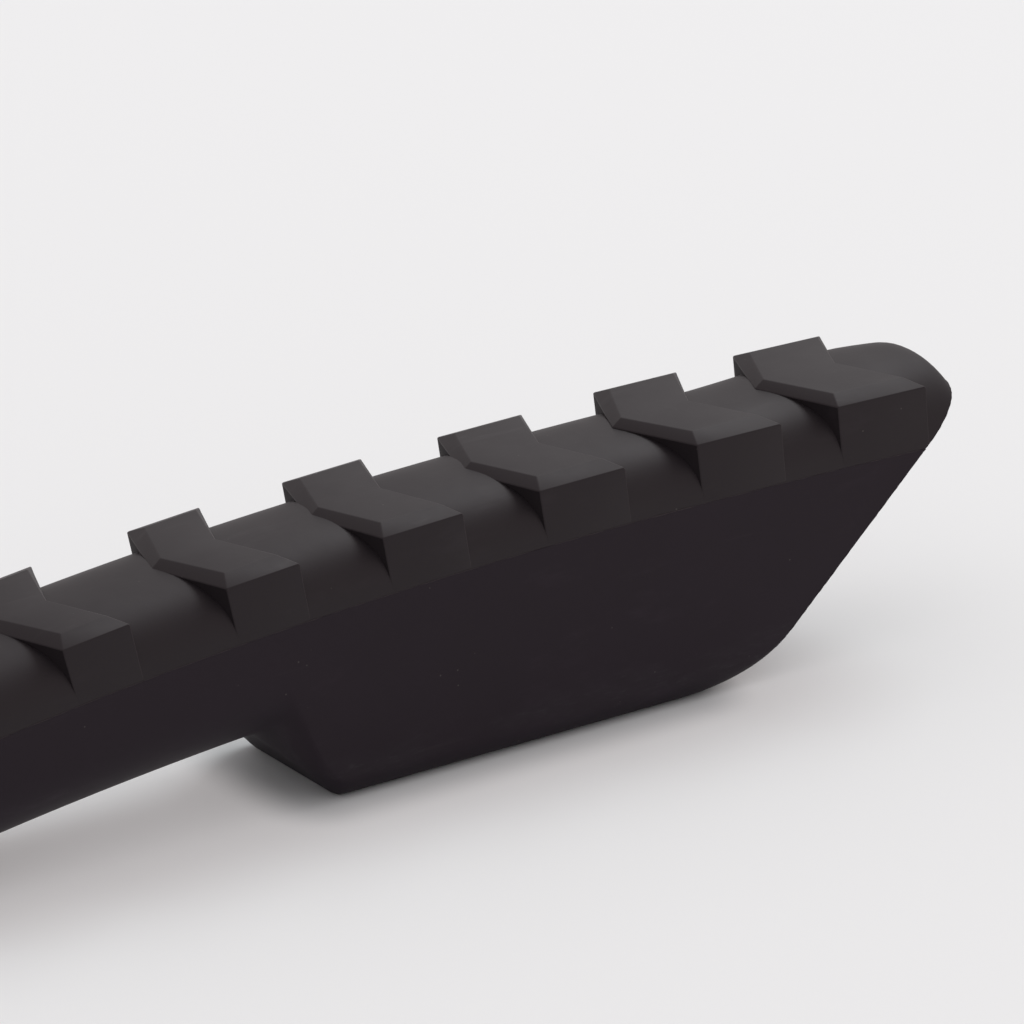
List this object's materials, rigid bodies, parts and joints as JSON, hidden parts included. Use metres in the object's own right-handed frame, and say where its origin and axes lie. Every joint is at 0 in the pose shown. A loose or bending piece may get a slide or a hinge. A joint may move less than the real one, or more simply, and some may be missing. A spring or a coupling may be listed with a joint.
{
  "type": "ice axe",
  "caption": "Ice axe with a curved shaft, a chevron-ridged rubber grip with a heel and slanted butt, a bolted pick and adze, and a sliding hand rest.",
  "frame": {"origin": "centre of the grip heel's flat foot", "axes": "+X along the handle towards the butt, +Y across the grip, +Z from the foot up to the chevron ridge, so the pick points down"},
  "size_m": [0.5151, 0.054, 0.2426],
  "materials": {
    "rubber_black": "matt moulded rubber",
    "rubber_tread": "matt moulded rubber",
    "nylon_core": "moulded nylon",
    "nylon_plug": "moulded nylon",
    "nylon_collar": "moulded nylon",
    "rubber_upper": "matt moulded rubber",
    "shaft_anodised": "dark anodised",
    "head_steel": "forged, brushed",
    "pick_steel": "ground plate",
    "adze_steel": "ground plate",
    "bolt_steel": "plated",
    "insert_nylon": "moulded nylon",
    "rest_nylon": "moulded nylon",
    "hook_nylon": "moulded nylon",
    "pad_rubber": "soft rubber",
    "lever_aluminium": "anodised orange"
  },
  "bodies": {
    "axe": {"grip_body": "rubber_black", "grip_tread": "rubber_tread", "shaft_tube": "shaft_anodised", "heel_core": "nylon_core", "end_plug": "nylon_plug", "end_plug_pin": "bolt_steel", "grip_collar": "nylon_collar", "upper_grip": "rubber_upper", "head_body": "head_steel", "head_insert": "insert_nylon", "head_rivet_1": "bolt_steel", "head_rivet_2": "bolt_steel", "pick": "pick_steel", "pick_bolt_1": "bolt_steel", "pick_bolt_2": "bolt_steel", "pick_nut_1": "bolt_steel", "pick_nut_2": "bolt_steel", "adze": "adze_steel", "adze_bolt": "bolt_steel", "adze_nut": "bolt_steel"},
    "hand_rest": {"rest_collar": "rest_nylon", "rest_hook": "hook_nylon", "rest_screw_1": "bolt_steel", "rest_screw_2": "bolt_steel", "rest_pad": "pad_rubber", "rest_lever_pin": "bolt_steel"},
    "brake_lever": {"rest_lever": "lever_aluminium"}
  },
  "joints": [
    {"name": "hand_rest_slide", "type": "slide", "parent": "axe", "child": "hand_rest", "axis": [-0.9752, 0, -0.2214], "range_m": [-0.026, 0.105]},
    {"name": "brake_lever_hinge", "type": "hinge", "parent": "hand_rest", "child": "brake_lever", "pos_m": [-0.2028, 0, 0.01486], "axis": [0, -1, 0], "range_deg": [0, 100]}
  ]
}
